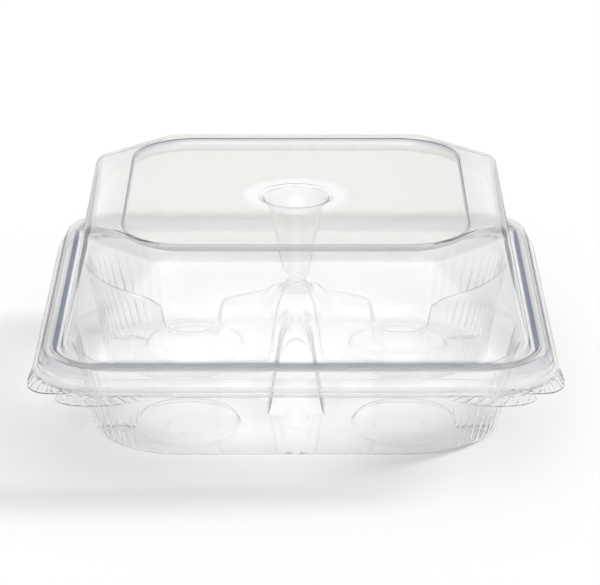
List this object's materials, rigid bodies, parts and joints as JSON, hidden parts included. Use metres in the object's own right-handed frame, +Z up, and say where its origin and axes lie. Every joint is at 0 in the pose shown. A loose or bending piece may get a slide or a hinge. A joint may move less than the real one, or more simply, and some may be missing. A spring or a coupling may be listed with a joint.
{
  "type": "hinged clamshell egg carton",
  "caption": "Clear thermoformed clamshell carton: a tray of round cups with a raised centre post, and a domed lid hinged along the rear edge.",
  "frame": {"origin": "centre of the carton's footprint, on the surface it stands on", "axes": "+Z up; the opening front edge with the corner tabs faces -Y; the hinge crease runs along X at the rear, +Y; +X is the carton's right seen from the front"},
  "size_m": [0.2064, 0.2061, 0.084],
  "materials": {
    "clear_sheet": "glossy clear thermoformed sheet"
  },
  "bodies": {
    "base": {"base_cell_front_left": "clear_sheet", "base_cell_front_right": "clear_sheet", "base_cell_rear_left": "clear_sheet", "base_cell_rear_right": "clear_sheet", "base_centre_post": "clear_sheet", "base_rim": "clear_sheet", "base_tab_left": "clear_sheet", "base_tab_right": "clear_sheet", "base_hinge_leaf": "clear_sheet"},
    "lid": {"lid_wall": "clear_sheet", "lid_top_border": "clear_sheet", "lid_stacking_panel": "clear_sheet", "lid_funnel": "clear_sheet", "lid_rim": "clear_sheet", "lid_tab_left": "clear_sheet", "lid_tab_right": "clear_sheet", "lid_hinge_leaf": "clear_sheet"}
  },
  "joints": [
    {"name": "lid_hinge", "type": "hinge", "parent": "base", "child": "lid", "pos_m": [0, 0.1035, 0.03445], "axis": [-1, 0, 0], "range_deg": [0, 155]}
  ]
}
